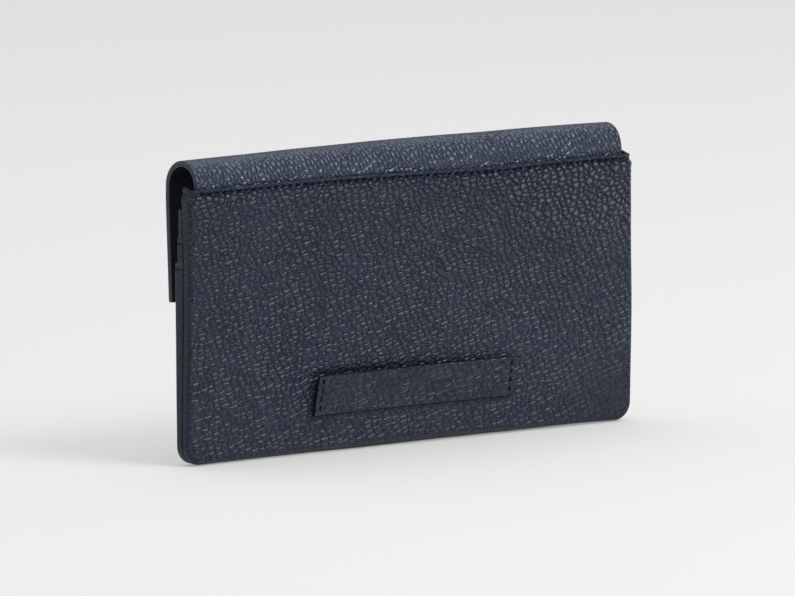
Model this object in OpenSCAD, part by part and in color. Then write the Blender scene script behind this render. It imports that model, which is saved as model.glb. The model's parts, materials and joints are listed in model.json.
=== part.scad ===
// Long flap wallet standing on its bottom edge. +Z is up, the rear panel faces +Y, the card pockets and the
// flap's front face -Y, and +X is to the right as seen from the card side. Millimetres. The origin is under
// the middle of the whole wallet, on the surface it stands on. Depths are counted forwards from the back of
// the rear panel.

/* [Body] */
// Width of the body
body_w = 195; // [180:1:205]
// Height of the rear panel
rear_h = 98; // [96:1:104]
// Radius of the two bottom corners
corner_r = 8; // [5:1:12]
// Clear depth of the note compartment
note_gap = 4.3; // [4.2:0.1:6]
// Height of the top card row
zip_panel_h = 90.5; // [90:0.5:92]
// Height of the middle card row
card_strip_h = 80.5; // [79:0.5:81]
// Height of the front panel, which is the lowest card row
front_panel_h = 71.5; // [70.5:0.5:72]

/* [Flap] */
// Width of the flap
flap_w = 189; // [180:1:189]
// Outer radius of the flap's arch
arch_r = 9.4; // [9:0.1:11]
// Height of the flap's lower edge when it is closed
flap_edge_z = 57.5; // [50:0.5:58]
// Thickness of the flap's leather
flap_leather_t = 1.2; // [0.9:0.1:1.4]
// Thickness of the flap's lining
flap_lining_t = 0.8; // [0.5:0.1:1]

/* [Rear strap] */
// Length of the strap
strap_w = 86.5; // [60:0.5:100]
// Height of the strap
strap_h = 14.2; // [10:0.2:20]
// Height of the strap's lower edge
strap_z = 13.1; // [10:0.1:30]
// How far the strap's middle sits to the +X side
strap_x = 2.3; // [-10:0.1:10]

/* [Zip] */
// Length of the zip's window
window_w = 152; // [100:1:160]
// Height of the zip's centre line
zip_z = 85.4; // [85.2:0.1:85.6]
// Spacing of the teeth along one side
tooth_pitch = 1.9; // [1.8:0.1:2.4]

/* [Stitching] */
// Length of one stitch and the gap after it
stitch_pitch = 3.2; // [2.8:0.1:4]
// Length of the thread that shows in one stitch
stitch_len = 2.3; // [1.5:0.1:2.5]

/* [Hidden] */
$fn = 64;

navy = [0.19, 0.22, 0.27];
navy_dark = [0.13, 0.15, 0.19];
lining_grey = [0.32, 0.33, 0.36];
thread_dark = [0.09, 0.10, 0.13];
nickel = [0.75, 0.75, 0.77];

// Sheet thicknesses, from the back to the front
rear_leather_t = 1.1;
lining_t = 0.3;
divider_t = 0.5;
coin_gap = 1.5;
tape_t = 0.3;
card_leather_t = 0.8;
front_leather_t = 1.1;
strap_t = 1.2;
wall_t = 1.1;

// Depth of each sheet's back face
rear_lining_d = rear_leather_t;
divider_d = rear_lining_d + lining_t + note_gap;
coin_d = divider_d + divider_t;
tape_d = coin_d + coin_gap;
zip_leather_d = tape_d + tape_t;
card_lining_d = zip_leather_d + card_leather_t;
card_strip_d = card_lining_d + lining_t;
front_lining_d = card_strip_d + card_leather_t;
front_panel_d = front_lining_d + lining_t;
front_face_d = front_panel_d + front_leather_t;

// The flap starts behind the rear panel's skived top band
skive_t = 0.6;
anchor_t = 0.5;
anchor_z = 88;
arch_d = skive_t + arch_r;
arch_z = rear_h + 0.3;
flap_outer_d = arch_d + arch_r;
flap_inner_d = flap_outer_d - flap_leather_t - flap_lining_t;
total_d = flap_outer_d + strap_t;
rear_y = total_d / 2 - strap_t;

// The arch bends at three lines, counted round the arch from the rear
bend_1 = 20;
bend_2 = 90;
bend_3 = 160;
bend_gap = 0.9;

// Linings and the divider end a little below the leather edge beside them
lining_drop = 1;
divider_h = rear_h - lining_drop;
rear_lining_h = rear_h - 0.5;

// Stitches lie in shallow grooves
groove_d = 0.3;
groove_w = 0.9;
thread_w = 0.6;
top_stitch_z = rear_h - 1.8;
row_stitch_drop = 1.6;
window_stitch_gap = 1.1;
column_foot_z = 22;
strap_stitch_inset = 2.2;
strap_stitch_margin = 0.6;
strap_slant = 1.6;

// How far a cutting solid runs past the face it opens
past = 1;

// Zip
zip_gap = 0.22;
tooth_h = 1.58;
tooth_w = 1.1;
tooth_t = 1.5;
window_h = 5.4;
tape_h = 7;
tooth_root = zip_gap + tooth_h;
teeth_w = window_w - 6;
teeth_d = tape_d + (tape_t - tooth_t) / 2;
stop_w = 1.5;
stop_inset = 0.2;
slider_w = 8;
slider_h = 5.6;
plate_t = 0.45;
plate_clear = 0.2;
slider_x = window_w / 2 - stop_inset - stop_w - 0.1 - slider_w / 2;
slider_front_d = card_lining_d + 0.15;
slider_face_d = slider_front_d + plate_t;
flange_t = 0.4;
flange_z = 2.05;
flange_clear = 0.25;
post_w = 3;
post_h = 0.2;
eye_r = 1;
eye_h = 1.2;
eye_hole_r = 0.6;
pull_pivot_d = slider_face_d + 0.8;
pull_reach = 6.7;
pull_t = 0.7;
pull_r = 1.7;
pull_bar_r = 0.35;

// Magnetic snap
snap_z = flap_edge_z + 7;
snap_r = 5.5;
snap_plate_t = 0.5;
socket_t = 4;
snap_bore_r = 2.4;
stud_r = 1.9;
stud_plate_t = 1.4;
stud_len = 2.7;
shank_r = 1.1;
washer_r = 4.5;
washer_t = 0.4;
washer_clear = 0.1;

// Heights between which the card columns are stitched apart
front_column_z = [column_foot_z, snap_z - snap_r - 1];
strip_column_z = [front_panel_h, card_strip_h - row_stitch_drop - groove_w / 2];

// ---- Helpers ----

// Y of a depth counted forwards from the back of the rear panel
function y_at(depth) = rear_y - depth;

// Box from ranges of x, z and depth
module block(x, z, depth) {
    translate([x[0], y_at(depth[1]), z[0]])
        cube([x[1] - x[0], depth[1] - depth[0], z[1] - z[0]]);
}

// Outline in X and Z, pulled forwards from one depth by a thickness
module sheet(depth, thickness) {
    translate([0, y_at(depth), 0])
        rotate([90, 0, 0])
            linear_extrude(thickness)
                children();
}

// The body's outline up to a height: square at the top, round at the two bottom corners
module outline(height, inset = 0) {
    half = body_w / 2 - inset;
    radius = corner_r - inset;
    difference() {
        translate([-half, inset])
            square([2 * half, height - inset]);
        for (side = [-1, 1])
            translate([side * half, inset])
                corner_cut(radius, side);
    }
}

// What a round corner takes off a square one
module corner_cut(radius, side) {
    difference() {
        square(2 * radius, center = true);
        translate([-side * radius, radius])
            circle(radius);
        translate([-side * 2 * radius, 0])
            square(2 * radius, center = true);
        translate([0, 2 * radius])
            square([4 * radius, 2 * radius], center = true);
    }
}

// Round piece along Y between two depths
module disc(x, z, radius, depth) {
    translate([x, y_at(depth[0]), z])
        rotate([90, 0, 0])
            cylinder(r = radius, h = depth[1] - depth[0]);
}

// Straight row of stitches along X that fills the given range
module stitch_row(x, z, depth) {
    count = floor((x[1] - x[0]) / stitch_pitch);
    start = (x[0] + x[1] - count * stitch_pitch) / 2 + (stitch_pitch - stitch_len) / 2;
    for (i = [0:count - 1])
        block([start + i * stitch_pitch, start + i * stitch_pitch + stitch_len],
              [z - thread_w / 2, z + thread_w / 2], depth);
}

// Straight row of stitches along Z
module stitch_column(x, z, depth) {
    count = floor((z[1] - z[0]) / stitch_pitch);
    start = (z[0] + z[1] - count * stitch_pitch) / 2 + (stitch_pitch - stitch_len) / 2;
    for (i = [0:count - 1])
        block([x - thread_w / 2, x + thread_w / 2],
              [start + i * stitch_pitch, start + i * stitch_pitch + stitch_len], depth);
}

// Part of the arch, seen from the side, between two angles counted from the rear
module arch_part(outer_r, thickness, from, to) {
    reach = 2 * outer_r;
    middle = (from + to) / 2;
    intersection() {
        difference() {
            circle(outer_r);
            circle(outer_r - thickness);
        }
        polygon([[0, 0],
                 reach * [cos(from), sin(from)],
                 reach * [cos(middle), sin(middle)],
                 reach * [cos(to), sin(to)]]);
    }
}

// A side view of the flap about the arch's centre, spread over the flap's width
module across_flap() {
    translate([0, y_at(arch_d), arch_z])
        rotate([90, 0, 90])
            translate([0, 0, -flap_w / 2])
                linear_extrude(flap_w)
                    children();
}

// The strap's outline: both ends lean the same way
module strap_outline() {
    polygon([[strap_x - strap_w / 2 + strap_slant / 2, strap_z],
             [strap_x + strap_w / 2 + strap_slant / 2, strap_z],
             [strap_x + strap_w / 2 - strap_slant / 2, strap_z + strap_h],
             [strap_x - strap_w / 2 - strap_slant / 2, strap_z + strap_h]]);
}

// ---- Rear ----

// Outer leather of the rear, turned round the sides and the bottom as far as the side seam
module rear_panel() {
    color(navy)
        difference() {
            sheet(0, divider_d)
                outline(rear_h);
            sheet(rear_leather_t, divider_d)
                outline(rear_h + past, wall_t);
            block([-flap_w / 2, flap_w / 2], [anchor_z, rear_h + past], [skive_t, divider_d]);
            block([-flap_w / 2, flap_w / 2],
                  [top_stitch_z - groove_w / 2, top_stitch_z + groove_w / 2], [-past, groove_d]);
        }
}

// Fabric on the inside of the rear panel
module rear_lining() {
    color(lining_grey)
        sheet(rear_lining_d, lining_t)
            outline(rear_lining_h, wall_t);
}

module rear_strap() {
    color(navy)
        difference() {
            sheet(-strap_t, strap_t)
                strap_outline();
            for (side = [-1, 1])
                block(strap_groove_x(side), [strap_z - past, strap_z + strap_h + past],
                      [-strap_t - past, groove_d - strap_t]);
        }
}

function strap_stitch_x(side) = strap_x + side * (strap_w / 2 - strap_stitch_inset);
function strap_groove_x(side) =
    [strap_stitch_x(side) - groove_w / 2, strap_stitch_x(side) + groove_w / 2];

module strap_stitching(side) {
    color(thread_dark)
        stitch_column(strap_stitch_x(side),
                      [strap_z + strap_stitch_margin, strap_z + strap_h - strap_stitch_margin],
                      [-strap_t, groove_d - strap_t]);
}

// The seam that holds the flap in the rear panel's top edge
module top_stitching() {
    color(thread_dark)
        stitch_row([-flap_w / 2, flap_w / 2], top_stitch_z, [0, groove_d]);
}

// ---- Compartments ----

// Stiff leather sheet between the notes and the coins
module note_divider() {
    color(navy_dark)
        sheet(divider_d, divider_t)
            outline(divider_h);
}

// Top card row and front of the coin pocket, with the zip's window and turned edges
module zip_panel() {
    color(navy)
        difference() {
            sheet(coin_d, card_lining_d - coin_d)
                outline(zip_panel_h);
            sheet(coin_d - past, zip_leather_d - coin_d + past)
                outline(zip_panel_h + past, wall_t);
            block([-window_w / 2, window_w / 2], [zip_z - window_h / 2, zip_z + window_h / 2],
                  [coin_d, card_lining_d + past]);
            for (side = [-1, 1])
                window_groove(side);
        }
}

// Height of the stitch line above or below the zip's window
function window_stitch_z(side) = zip_z + side * (window_h / 2 + window_stitch_gap);

module window_groove(side) {
    block([-window_w / 2 - 2, window_w / 2 + 2],
          [window_stitch_z(side) - groove_w / 2, window_stitch_z(side) + groove_w / 2],
          [card_lining_d - groove_d, card_lining_d + past]);
}

module zip_window_stitching() {
    color(thread_dark)
        for (side = [-1, 1])
            stitch_row([-window_w / 2 - 1, window_w / 2 + 1], window_stitch_z(side),
                       [card_lining_d - groove_d, card_lining_d]);
}

// Leather of the middle card row
module card_strip() {
    color(navy)
        difference() {
            sheet(card_strip_d, card_leather_t)
                outline(card_strip_h);
            row_groove(card_strip_h, front_lining_d);
            column_groove(strip_column_z, front_lining_d);
        }
}

module card_strip_lining() {
    color(lining_grey)
        sheet(card_lining_d, lining_t)
            outline(card_strip_h - lining_drop);
}

// Groove for the stitch line under a row's top edge, in the face at the given depth
module row_groove(row_h, face_d) {
    block([-body_w / 2 + wall_t, body_w / 2 - wall_t],
          [row_h - row_stitch_drop - groove_w / 2, row_h - row_stitch_drop + groove_w / 2],
          [face_d - groove_d, face_d + past]);
}

// Upright groove for the stitches that part the two columns of cards
module column_groove(z, face_d) {
    block([-groove_w / 2, groove_w / 2], z, [face_d - groove_d, face_d + past]);
}

module row_stitching(row_h, face_d) {
    color(thread_dark)
        stitch_row([-body_w / 2 + wall_t, body_w / 2 - wall_t], row_h - row_stitch_drop,
                   [face_d - groove_d, face_d]);
}

// Leather of the front, whose top edge is the lowest card row
module front_panel() {
    color(navy)
        difference() {
            sheet(front_panel_d, front_leather_t)
                outline(front_panel_h);
            row_groove(front_panel_h, front_face_d);
            column_groove(front_column_z, front_face_d);
            disc(0, snap_z, washer_r + washer_clear, [front_panel_d - past, front_panel_d + washer_t]);
            disc(0, snap_z, shank_r, [front_panel_d, front_face_d + past]);
        }
}

module front_lining() {
    color(lining_grey)
        sheet(front_lining_d, lining_t)
            outline(front_panel_h - lining_drop);
}

// Stitches between the two columns of cards, below the snap and on the strip above it
module card_column_stitching() {
    color(thread_dark) {
        stitch_column(0, front_column_z, [front_face_d - groove_d, front_face_d]);
        stitch_column(0, strip_column_z, [front_lining_d - groove_d, front_lining_d]);
    }
}

// ---- Zip ----

// Tape beside the teeth, above the centre line for 1 and below it for -1
module zip_tape(side) {
    near = zip_z + side * tooth_root;
    far = zip_z + side * tape_h;
    top = zip_panel_h - lining_drop / 2;
    color(navy_dark)
        block([-window_w / 2 - 3, window_w / 2 + 3], [min(near, far), min(top, max(near, far))],
              [tape_d, zip_leather_d]);
}

// One side's teeth, each half a pitch along from those across the centre line
module zip_teeth(side) {
    count = floor(teeth_w / tooth_pitch);
    start = -count * tooth_pitch / 2 + (side + 1) / 4 * tooth_pitch - tooth_pitch / 4;
    near = zip_z + side * zip_gap;
    far = zip_z + side * tooth_root;
    color(nickel)
        for (i = [0:count - 1])
            block([start + i * tooth_pitch, start + i * tooth_pitch + tooth_w],
                  [min(near, far), max(near, far)], [teeth_d, teeth_d + tooth_t]);
}

// The blocks across both ends of the chain
module zip_end_stops() {
    color(nickel)
        for (side = [-1, 1])
            translate([side * (window_w / 2 - stop_inset - stop_w / 2), 0, 0])
                block([-stop_w / 2, stop_w / 2], [zip_z - tooth_root, zip_z + tooth_root],
                      [teeth_d, teeth_d + tooth_t]);
}

// Front and back plates with their flanges, the thin post between the rows of teeth and the pull's eye
module zip_slider() {
    x = [slider_x - slider_w / 2, slider_x + slider_w / 2];
    z = [zip_z - slider_h / 2, zip_z + slider_h / 2];
    back_d = teeth_d - plate_clear;
    color(nickel)
        difference() {
            union() {
                block(x, z, [slider_front_d, slider_face_d]);
                block(x, z, [back_d - plate_t, back_d]);
                for (side = [-1, 1]) {
                    slider_flange(x, side, [back_d, tape_d - flange_clear]);
                    slider_flange(x, side, [zip_leather_d + flange_clear, slider_front_d]);
                }
                block([slider_x - post_w / 2, slider_x + post_w / 2],
                      [zip_z - post_h / 2, zip_z + post_h / 2], [back_d, slider_front_d]);
                slider_eye();
            }
            translate([slider_x, y_at(pull_pivot_d), zip_z - eye_h])
                cylinder(r = eye_hole_r, h = 2 * eye_h);
        }
}

// Side wall of the slider between two depths
module slider_flange(x, side, depth) {
    inner = zip_z + side * flange_z;
    outer = zip_z + side * (flange_z + flange_t);
    block(x, [min(inner, outer), max(inner, outer)], depth);
}

// Rounded lug with the hole that the pull's bar turns in
module slider_eye() {
    translate([slider_x, y_at(pull_pivot_d), zip_z - eye_h / 2])
        cylinder(r = eye_r, h = eye_h);
    block([slider_x - eye_r, slider_x + eye_r], [zip_z - eye_h / 2, zip_z + eye_h / 2],
          [slider_face_d, pull_pivot_d]);
}

// Short tab with two arms and the bar through the slider's eye
module zip_pull() {
    flat = [pull_pivot_d - pull_t / 2, pull_pivot_d + pull_t / 2];
    tab_x = [slider_x - pull_reach + pull_r, slider_x - 1.5 * eye_r];
    color(nickel) {
        translate([slider_x, y_at(pull_pivot_d), zip_z - pull_r])
            cylinder(r = pull_bar_r, h = 2 * pull_r);
        for (side = [-1, 1])
            translate([0, 0, side * (pull_r - pull_bar_r)])
                block([tab_x[1], slider_x], [zip_z - pull_bar_r, zip_z + pull_bar_r], flat);
        block(tab_x, [zip_z - pull_r, zip_z + pull_r], flat);
        disc(tab_x[0], zip_z, pull_r, flat);
    }
}

// ---- Magnetic snap ----

// Disc riveted to the front panel
module snap_socket_base() {
    color(nickel) {
        disc(0, snap_z, snap_r, [front_face_d, front_face_d + snap_plate_t]);
        disc(0, snap_z, shank_r, [front_panel_d + washer_t, front_face_d + 0.1]);
    }
}

// Cup over the magnet, with the bore for the stud
module snap_socket_cap() {
    base_d = front_face_d + snap_plate_t;
    top_d = front_face_d + socket_t;
    color(nickel)
        difference() {
            disc(0, snap_z, snap_r, [base_d, top_d]);
            disc(0, snap_z, snap_r - snap_plate_t, [base_d - past, top_d - snap_plate_t]);
            disc(0, snap_z, snap_bore_r, [base_d, top_d + past]);
        }
}

// Ring magnet inside the cup
module snap_magnet() {
    color([0.3, 0.3, 0.32])
        difference() {
            disc(0, snap_z, snap_r - snap_plate_t,
                 [front_face_d + snap_plate_t, front_face_d + socket_t - snap_plate_t]);
            disc(0, snap_z, snap_bore_r, [front_face_d, front_face_d + socket_t]);
        }
}

// Backing washer let into the front panel's leather
module snap_socket_washer() {
    color(nickel)
        disc(0, snap_z, washer_r, [front_panel_d, front_panel_d + washer_t]);
}

// Plate, post and shank on the flap
module snap_stud() {
    plate_d = flap_inner_d - stud_plate_t;
    color(nickel) {
        disc(0, snap_z, snap_r, [plate_d, flap_inner_d]);
        disc(0, snap_z, stud_r, [plate_d - stud_len, plate_d + 0.1]);
        disc(0, snap_z, shank_r, [flap_inner_d - 0.1, flap_inner_d + flap_lining_t]);
    }
}

// Backing washer let into the flap's leather
module snap_stud_washer() {
    color(nickel)
        disc(0, snap_z, washer_r,
             [flap_inner_d + flap_lining_t, flap_inner_d + flap_lining_t + washer_t]);
}

// ---- Flap ----

// Flap leather from the top seam to the first bend
module flap_anchor() {
    color(navy)
        union() {
            block([-flap_w / 2, flap_w / 2], [anchor_z, arch_z], [skive_t, skive_t + anchor_t]);
            across_flap()
                arch_part(arch_r, flap_leather_t, 0, bend_1 - bend_gap);
        }
}

module flap_anchor_lining() {
    color(navy_dark)
        across_flap()
            arch_part(arch_r - flap_leather_t, flap_lining_t, 0, bend_1 - bend_gap);
}

module flap_bend(from, to) {
    color(navy)
        across_flap()
            arch_part(arch_r, flap_leather_t, from + bend_gap, to - bend_gap);
}

module flap_bend_lining(from, to) {
    color(navy_dark)
        across_flap()
            arch_part(arch_r - flap_leather_t, flap_lining_t, from + bend_gap, to - bend_gap);
}

// Leather from the last bend down to the flap's lower edge
module flap_front() {
    color(navy)
        difference() {
            union() {
                across_flap()
                    arch_part(arch_r, flap_leather_t, bend_3 + bend_gap, 180);
                block([-flap_w / 2, flap_w / 2], [flap_edge_z, arch_z],
                      [flap_outer_d - flap_leather_t, flap_outer_d]);
            }
            disc(0, snap_z, washer_r + washer_clear,
                 [flap_inner_d, flap_inner_d + flap_lining_t + washer_t]);
        }
}

module flap_front_lining() {
    color(navy_dark)
        difference() {
            union() {
                across_flap()
                    arch_part(arch_r - flap_leather_t, flap_lining_t, bend_3 + bend_gap, 180);
                block([-flap_w / 2, flap_w / 2], [flap_edge_z, arch_z],
                      [flap_inner_d, flap_inner_d + flap_lining_t]);
            }
            disc(0, snap_z, shank_r, [flap_inner_d - past, flap_outer_d]);
        }
}

// ---- Nodes ----

rear_panel();
rear_lining();
rear_strap();
top_stitching();
strap_stitching(-1);  // strap_stitching_left
strap_stitching(1);  // strap_stitching_right
flap_anchor();
flap_anchor_lining();
note_divider();
zip_panel();
zip_window_stitching();
zip_tape(1);  // zip_tape_upper
zip_tape(-1);  // zip_tape_lower
zip_teeth(1);  // zip_teeth_upper
zip_teeth(-1);  // zip_teeth_lower
zip_end_stops();
card_strip();
card_strip_lining();
row_stitching(card_strip_h, front_lining_d);  // card_strip_stitching
front_panel();
front_lining();
row_stitching(front_panel_h, front_face_d);  // front_panel_stitching
card_column_stitching();
snap_socket_base();
snap_socket_cap();
snap_magnet();
snap_socket_washer();
flap_bend(bend_1, bend_2);  // flap_bend_rear
flap_bend_lining(bend_1, bend_2);  // flap_bend_rear_lining
flap_bend(bend_2, bend_3);  // flap_bend_front
flap_bend_lining(bend_2, bend_3);  // flap_bend_front_lining
flap_front();
flap_front_lining();
snap_stud();
snap_stud_washer();
zip_slider();
zip_pull();
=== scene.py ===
"""Looks of the long wallet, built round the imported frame. Metres, +Z up, rear panel towards +Y."""

import json
import math

import bmesh
import bpy
import numpy as np
from mathutils import Matrix, Vector


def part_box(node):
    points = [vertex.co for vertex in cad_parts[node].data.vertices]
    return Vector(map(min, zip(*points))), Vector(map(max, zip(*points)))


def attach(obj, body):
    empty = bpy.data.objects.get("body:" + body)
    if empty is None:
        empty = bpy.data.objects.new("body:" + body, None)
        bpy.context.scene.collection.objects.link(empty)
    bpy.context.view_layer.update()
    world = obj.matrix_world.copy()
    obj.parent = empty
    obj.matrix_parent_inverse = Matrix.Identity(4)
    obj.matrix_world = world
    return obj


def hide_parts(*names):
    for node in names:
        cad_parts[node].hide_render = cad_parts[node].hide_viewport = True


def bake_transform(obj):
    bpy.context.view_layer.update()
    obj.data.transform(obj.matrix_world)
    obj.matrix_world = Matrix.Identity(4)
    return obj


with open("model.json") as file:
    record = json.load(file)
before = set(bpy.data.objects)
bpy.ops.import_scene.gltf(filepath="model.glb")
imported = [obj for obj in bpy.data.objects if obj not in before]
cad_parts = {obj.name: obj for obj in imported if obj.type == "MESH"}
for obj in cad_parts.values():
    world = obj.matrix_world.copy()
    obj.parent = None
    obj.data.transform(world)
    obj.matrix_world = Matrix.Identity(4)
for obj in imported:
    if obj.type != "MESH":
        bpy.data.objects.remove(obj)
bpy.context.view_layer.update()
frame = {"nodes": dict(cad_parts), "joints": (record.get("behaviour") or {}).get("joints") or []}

MM = 0.001

# ---- Places and sizes, from the frame ----

rear_low, rear_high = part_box("rear_panel")
divider_low, divider_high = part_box("note_divider")
zip_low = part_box("zip_panel")[0]
strip_low, strip_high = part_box("card_strip")
front_low, front_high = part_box("front_panel")
flap_low, flap_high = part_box("flap_front")
strap_low, strap_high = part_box("rear_strap")
turns = {joint["name"]: Vector(joint["pos_m"]) for joint in frame["joints"] if joint["type"] == "hinge"}

HALF_W = rear_high.x
REAR_Y = rear_high.y
REAR_TOP = rear_high.z
SEAM_Y = rear_low.y
CORNER_R = 6.8 * MM
LEATHER_T = 1.1 * MM
FLAP_HALF = flap_high.x
FLAP_LEATHER_T = 1.2 * MM
FLAP_LINING_T = 0.8 * MM
STITCH_PITCH = 3.2 * MM

# The arch starts just inside the rear panel's leather and reaches the flap's outer face
ARCH_BACK_Y = REAR_Y - LEATHER_T
ARCH_R = (ARCH_BACK_Y - flap_low.y) / 2
ARCH_Y = ARCH_BACK_Y - ARCH_R
ARCH_Z = turns["flap_crown_turn"].z - ARCH_R
TONGUE_Z = REAR_TOP - 3 * MM
FLAP_EDGE_Z = flap_low.z - 0.8 * MM


# ---- Materials ----


class Shader:
    """A material's node tree, with one short call for each node.

    place is the position along the sheet, or in the row frame for a piece that has no skin attribute.
    """

    def __init__(self, name, attribute="skin"):
        self.material = bpy.data.materials.new(name)
        self.material.use_nodes = True
        self.tree = self.material.node_tree
        self.surface = self.tree.nodes["Principled BSDF"]
        if attribute:
            self.place = self.node("Attribute", attribute_name=attribute).outputs["Vector"]
        else:
            self.place = self.node("TexCoord").outputs["Object"]

    def node(self, kind, inputs=None, **properties):
        made = self.tree.nodes.new("ShaderNode" + kind)
        for key, value in properties.items():
            setattr(made, key, value)
        for key, value in (inputs or {}).items():
            self.feed(made.inputs[key], value)
        return made

    def feed(self, socket, value):
        if isinstance(value, bpy.types.NodeSocket):
            self.tree.links.new(value, socket)
        else:
            socket.default_value = value

    def put(self, name, value):
        """Sets or links one input of the surface."""
        self.feed(self.surface.inputs[name], value)

    def maths(self, operation, first, second=0.0, third=0.0):
        return self.node("Math", {0: first, 1: second, 2: third}, operation=operation).outputs[0]

    def times(self, first, second):
        return self.maths("MULTIPLY", first, second)

    def add(self, value, share, base):
        """share x value + base"""
        return self.maths("MULTIPLY_ADD", value, share, base)

    def vector(self, operation, first, second):
        return self.node("VectorMath", {0: first, 1: second}, operation=operation).outputs[0]

    def ramp(self, value, low, high, to_low=0.0, to_high=1.0):
        inputs = {"Value": value, "From Min": low, "From Max": high, "To Min": to_low, "To Max": to_high}
        return self.node("MapRange", inputs, interpolation_type="SMOOTHSTEP").outputs[0]

    def mix(self, share, first, second):
        return self.node("Mix", {0: share, 6: first, 7: second}, data_type="RGBA").outputs[2]

    def noise(self, size, detail=2.0, output=0, place=None):
        """Noise whose lumps are about size metres across. Output 1 is its three-part colour."""
        inputs = {"Vector": place or self.place, "Scale": 1 / size, "Detail": detail}
        return self.node("TexNoise", inputs).outputs[output]

    def cells(self, place, size, spread=1.0):
        """Distance from the edges of cells about size metres across, the same through the thickness."""
        inputs = {"Vector": place, "Scale": 1 / size, "Randomness": spread}
        made = self.node("TexVoronoi", inputs, feature="DISTANCE_TO_EDGE", voronoi_dimensions="2D")
        return made.outputs["Distance"]

    def bump(self, height, depth):
        made = self.node("Bump", {"Height": height, "Distance": depth, "Strength": 1.0})
        self.put("Normal", made.outputs[0])

    def paint(self, colour, rough, gloss=None):
        """Sets the surface's colour, roughness and specular level and gives the finished material."""
        self.put("Base Color", colour)
        self.put("Roughness", rough)
        if gloss is not None:
            self.put("Specular IOR Level", gloss)
        return self.material


def srgb(red, green, blue):
    """Linear colour with alpha from 0-255 values."""
    return tuple(((c / 255 + 0.055) / 1.055) ** 2.4 for c in (red, green, blue)) + (1.0,)


def tinted(colour, share):
    """The colour made darker or lighter."""
    return tuple(min(1.0, share * c) for c in colour[:3]) + (1.0,)


# Painted highlight: the light colour painted on the pebbles' crowns
PAINTED_HIGHLIGHT = srgb(92, 100, 113)


def pebbled_leather(name, colour, slant, depth=0.58 * MM, cell=1.9 * MM, gloss=0.34):
    """Milled leather: pebbles in loose rows, drawn out along the slant, parted by creases that are painted
    darker as painted shade.

    The mesh's attribute of pebble strength and painted light scales the pebbles: where it is low they are
    flattened and dull and their colour is painted darker as painted shade; where it is over 1 their crowns
    are painted light as a painted highlight and made shinier.
    """
    shader = Shader(name)
    drift = shader.noise(9 * MM, output=1)
    pull = shader.vector("SUBTRACT", drift, (0.5, 0.5, 0.5))
    pull = shader.vector("MULTIPLY", pull, (3 * MM, 3 * MM, 3 * MM))
    warped = shader.vector("ADD", shader.place, pull)
    turned = shader.node(
        "Mapping",
        {"Vector": warped, "Rotation": (0, 0, math.radians(slant)), "Scale": (1.45, 1.0, 1.0)},
        vector_type="TEXTURE",
    ).outputs[0]
    edge = shader.times(shader.cells(turned, cell, 0.8), 2.2)
    slope = shader.maths("SUBTRACT", 1.0, shader.maths("MINIMUM", edge, 1.0))
    dome = shader.maths("SUBTRACT", 1.0, shader.times(slope, slope))
    fine = shader.ramp(shader.cells(turned, 0.8 * MM), 0.0, 0.3)
    pores = shader.noise(0.3 * MM, 3.0)
    height = shader.add(fine, 0.07, dome)
    height = shader.add(pores, 0.06, height)
    loose = shader.ramp(shader.noise(26 * MM, 1.0), 0.3, 0.7, 0.88, 1.1)
    grain_and_painted_light = shader.node("Attribute", attribute_name="grain_and_painted_light").outputs["Fac"]
    strength = shader.times(loose, grain_and_painted_light)
    shader.bump(shader.times(height, strength), depth)
    # Painted shade: the creases between the pebbles, and the places where the pebble strength is low, take
    # this darker colour
    painted_shade_colour = tinted(colour, 0.38)
    body_colour = shader.mix(dome, painted_shade_colour, colour)
    patches = shader.ramp(shader.noise(20 * MM, 3.0), 0.35, 0.75, 0.0, 0.3)
    body_colour = shader.mix(patches, body_colour, tinted(colour, 1.25))
    # Painted highlight: where the pebble strength is over 1 the pebbles' crowns are painted light and made a
    # little shinier
    painted_highlight_share = shader.ramp(grain_and_painted_light, 1.05, 1.4)
    crown = shader.times(painted_highlight_share, shader.ramp(edge, 0.5, 1.0))
    body_colour = shader.mix(crown, body_colour, PAINTED_HIGHLIGHT)
    # Painted shade: where the pebble strength is low, as on the turned walls, the colour is painted darker;
    # the pebbles there are also duller
    flattened_and_shaded = shader.ramp(grain_and_painted_light, 0.25, 0.75, 0.7, 0.0)
    rough = shader.add(flattened_and_shaded, 0.3, shader.ramp(dome, 0.0, 1.0, 0.31, 0.2))
    rough = shader.add(shader.noise(3 * MM, 3.0), 0.1, rough)
    rough = shader.add(painted_highlight_share, -0.07, rough)
    return shader.paint(shader.mix(flattened_and_shaded, body_colour, painted_shade_colour), rough, gloss)


def edge_paint(name, colour, gloss=0.5):
    """Painted cut edge: satin, with the brush's faint runs and a little wear."""
    shader = Shader(name)
    runs = shader.noise(1.2 * MM, 4.0)
    share = shader.ramp(runs, 0.5, 0.8, 0.0, 0.5)
    shader.bump(runs, 0.05 * MM)
    rough = shader.ramp(runs, 0.2, 0.8, 0.34, 0.52)
    return shader.paint(shader.mix(share, colour, tinted(colour, 1.7)), rough, gloss)


def smooth_leather(name, colour):
    """Thin lining leather with a tight, fine grain."""
    shader = Shader(name)
    creases = shader.ramp(shader.cells(shader.place, 0.7 * MM), 0.0, 0.25)
    clouds = shader.noise(14 * MM, 3.0)
    height = shader.add(creases, 0.6, shader.noise(0.3 * MM, 3.0))
    shader.bump(height, 0.05 * MM)
    rough = shader.ramp(clouds, 0.2, 0.8, 0.5, 0.64)
    return shader.paint(shader.mix(clouds, colour, tinted(colour, 1.3)), rough, 0.2)


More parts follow.
